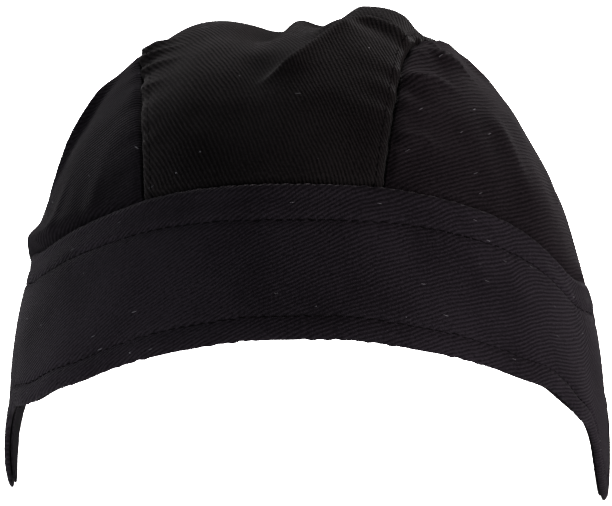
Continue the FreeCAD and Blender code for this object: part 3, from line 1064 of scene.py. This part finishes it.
def strap(name, start, end, out_at, thickness, finish, columns, sewn_side, inset=0.0):
    """A strap along the back from x start to end, with rounded corners at its free ends."""

    def place(along, up):
        x = start + (end - start) * along
        nearest = min(
            corner_radius if sewn_side < 0 else x - start,
            corner_radius if sewn_side > 0 else end - x,
        )
        nearest = max(0.0, min(corner_radius, nearest))
        cut = corner_radius - math.sqrt(corner_radius**2 - (corner_radius - nearest) ** 2)
        low, high = strap_low + inset + cut, strap_high - inset - cut
        height = low + (high - low) * up
        edge = min(up, 1 - up, along * 6, (1 - along) * 6)
        swell = 0.25 * mm * ease(edge / 0.1)
        swell += 0.2 * mm * noise.noise(Vector((x * 60, height * 60, 2)))
        spot = on_strap(x, height, out_at, sewn_side)
        return spot + dome_normal(spot) * swell, (x, height)

    return cloth_grid(name, columns, 20, place, finish, thickness)


def loop_out(x):
    """How far the loop strap stands off at x."""
    return 1.9 * mm


loop_tab = strap("loop_tab_strap", -30 * mm, 56 * mm, loop_out, 0.9 * mm, strap_twill, 80, 1)
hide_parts("loop_tab")
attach(loop_tab, "cap")

pile_recipe = Recipe("loop_pile")
pile_recipe.shader.inputs["Roughness"].default_value = 0.95
pile_recipe.shader.inputs["Specular IOR Level"].default_value = 0.0
pile_place = pile_recipe.add("TexCoord").outputs["Object"]
pile_fuzz = pile_recipe.add(
    "TexNoise", {"Vector": pile_place, "Scale": 2200.0, "Detail": 3.0}
).outputs[0]
pile_tone = pile_recipe.blend(pile_fuzz, (0.001, 0.001, 0.001, 1), (0.008, 0.008, 0.0085, 1))
loop_pile = pile_recipe.finish(pile_tone, pile_fuzz, 0.5 * mm)
loop_tape = strap(
    "loop_tape_pile",
    -27.5 * mm,
    42.5 * mm,
    lambda x: 2.75 * mm,
    0.7 * mm,
    loop_pile,
    60,
    0,
    2.5 * mm,
)
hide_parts("loop_tape")
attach(loop_tape, "cap")


def hook_out(x):
    """How far the hook strap stands off at x: more where it laps over the loop strap."""
    return 2.6 * mm + 2.5 * mm * ease((x + 47 * mm) / (14 * mm))


hook_tab = strap("hook_tab_strap", -56 * mm, 28 * mm, hook_out, 0.9 * mm, strap_twill, 90, -1)
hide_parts("hook_tab", "hook_tab_end")
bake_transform(hook_tab)

hook_recipe = Recipe("moulded_hooks")
hook_recipe.shader.inputs["Roughness"].default_value = 0.5
hook_recipe.shader.inputs["Specular IOR Level"].default_value = 0.1
hook_cut = hook_recipe.add("UVMap", uv_map="flat_cut").outputs[0]
hook_cells = hook_recipe.add("TexVoronoi", {"Vector": hook_cut, "Scale": 900.0, "Randomness": 0.15})
hook_height = hook_recipe.sum_of("SUBTRACT", 1.0, hook_cells.outputs["Distance"])
hook_tone = hook_recipe.blend(hook_height, (0.002, 0.002, 0.002, 1), (0.012, 0.012, 0.012, 1))
moulded_hooks = hook_recipe.finish(hook_tone, hook_height, 0.5 * mm)
hook_tape = strap(
    "hook_tape_patch",
    -27.5 * mm,
    25.5 * mm,
    lambda x: 4.05 * mm,
    0.6 * mm,
    moulded_hooks,
    50,
    0,
    2.5 * mm,
)
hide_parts("hook_tape")
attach(hook_tape, "tab")

# ---- Sewing on the adjuster: a box of stitches round the hook strap's free end, and a dense
# zigzag bartack across each strap where it is sewn to the cap.

box_left, box_right = -33 * mm, 25 * mm
box_low, box_high = strap_low + 2.5 * mm, strap_high - 2.5 * mm
box_corners = [(box_left, box_low), (box_right, box_low)]
box_corners += [(box_right, box_high), (box_left, box_high)]
box_line = []
for index in range(4):
    start, end = box_corners[index], box_corners[(index + 1) % 4]
    for step in range(24):
        x = start[0] + (end[0] - start[0]) * step / 24
        height = start[1] + (end[1] - start[1]) * step / 24
        spot = on_strap(x, height, hook_out, -1)
        box_line.append(spot + dome_normal(spot) * 0.35 * mm)
sew("hook_tab_box_row", [box_line], stitch_tree, "hook_tab_stitching", "tab")


def bartack(name, x, out_at, sewn_side, node):
    """A dense zigzag of thread down a strap at x."""
    line = []
    for step in range(33):
        height = strap_low + 3 * mm + (strap_high - strap_low - 6 * mm) * step / 32
        spot = on_strap(x + (1.3 if step % 2 else -1.3) * mm, height, out_at, sewn_side)
        line.append(spot + dome_normal(spot) * 0.4 * mm)
    sew(name, [line], zigzag_tree, node, "cap")


bartack("loop_tab_bartack_thread", 50.5 * mm, loop_out, 1, "loop_tab_bartack")
bartack("hook_tab_bartack_thread", -50.5 * mm, hook_out, -1, "hook_tab_bartack")
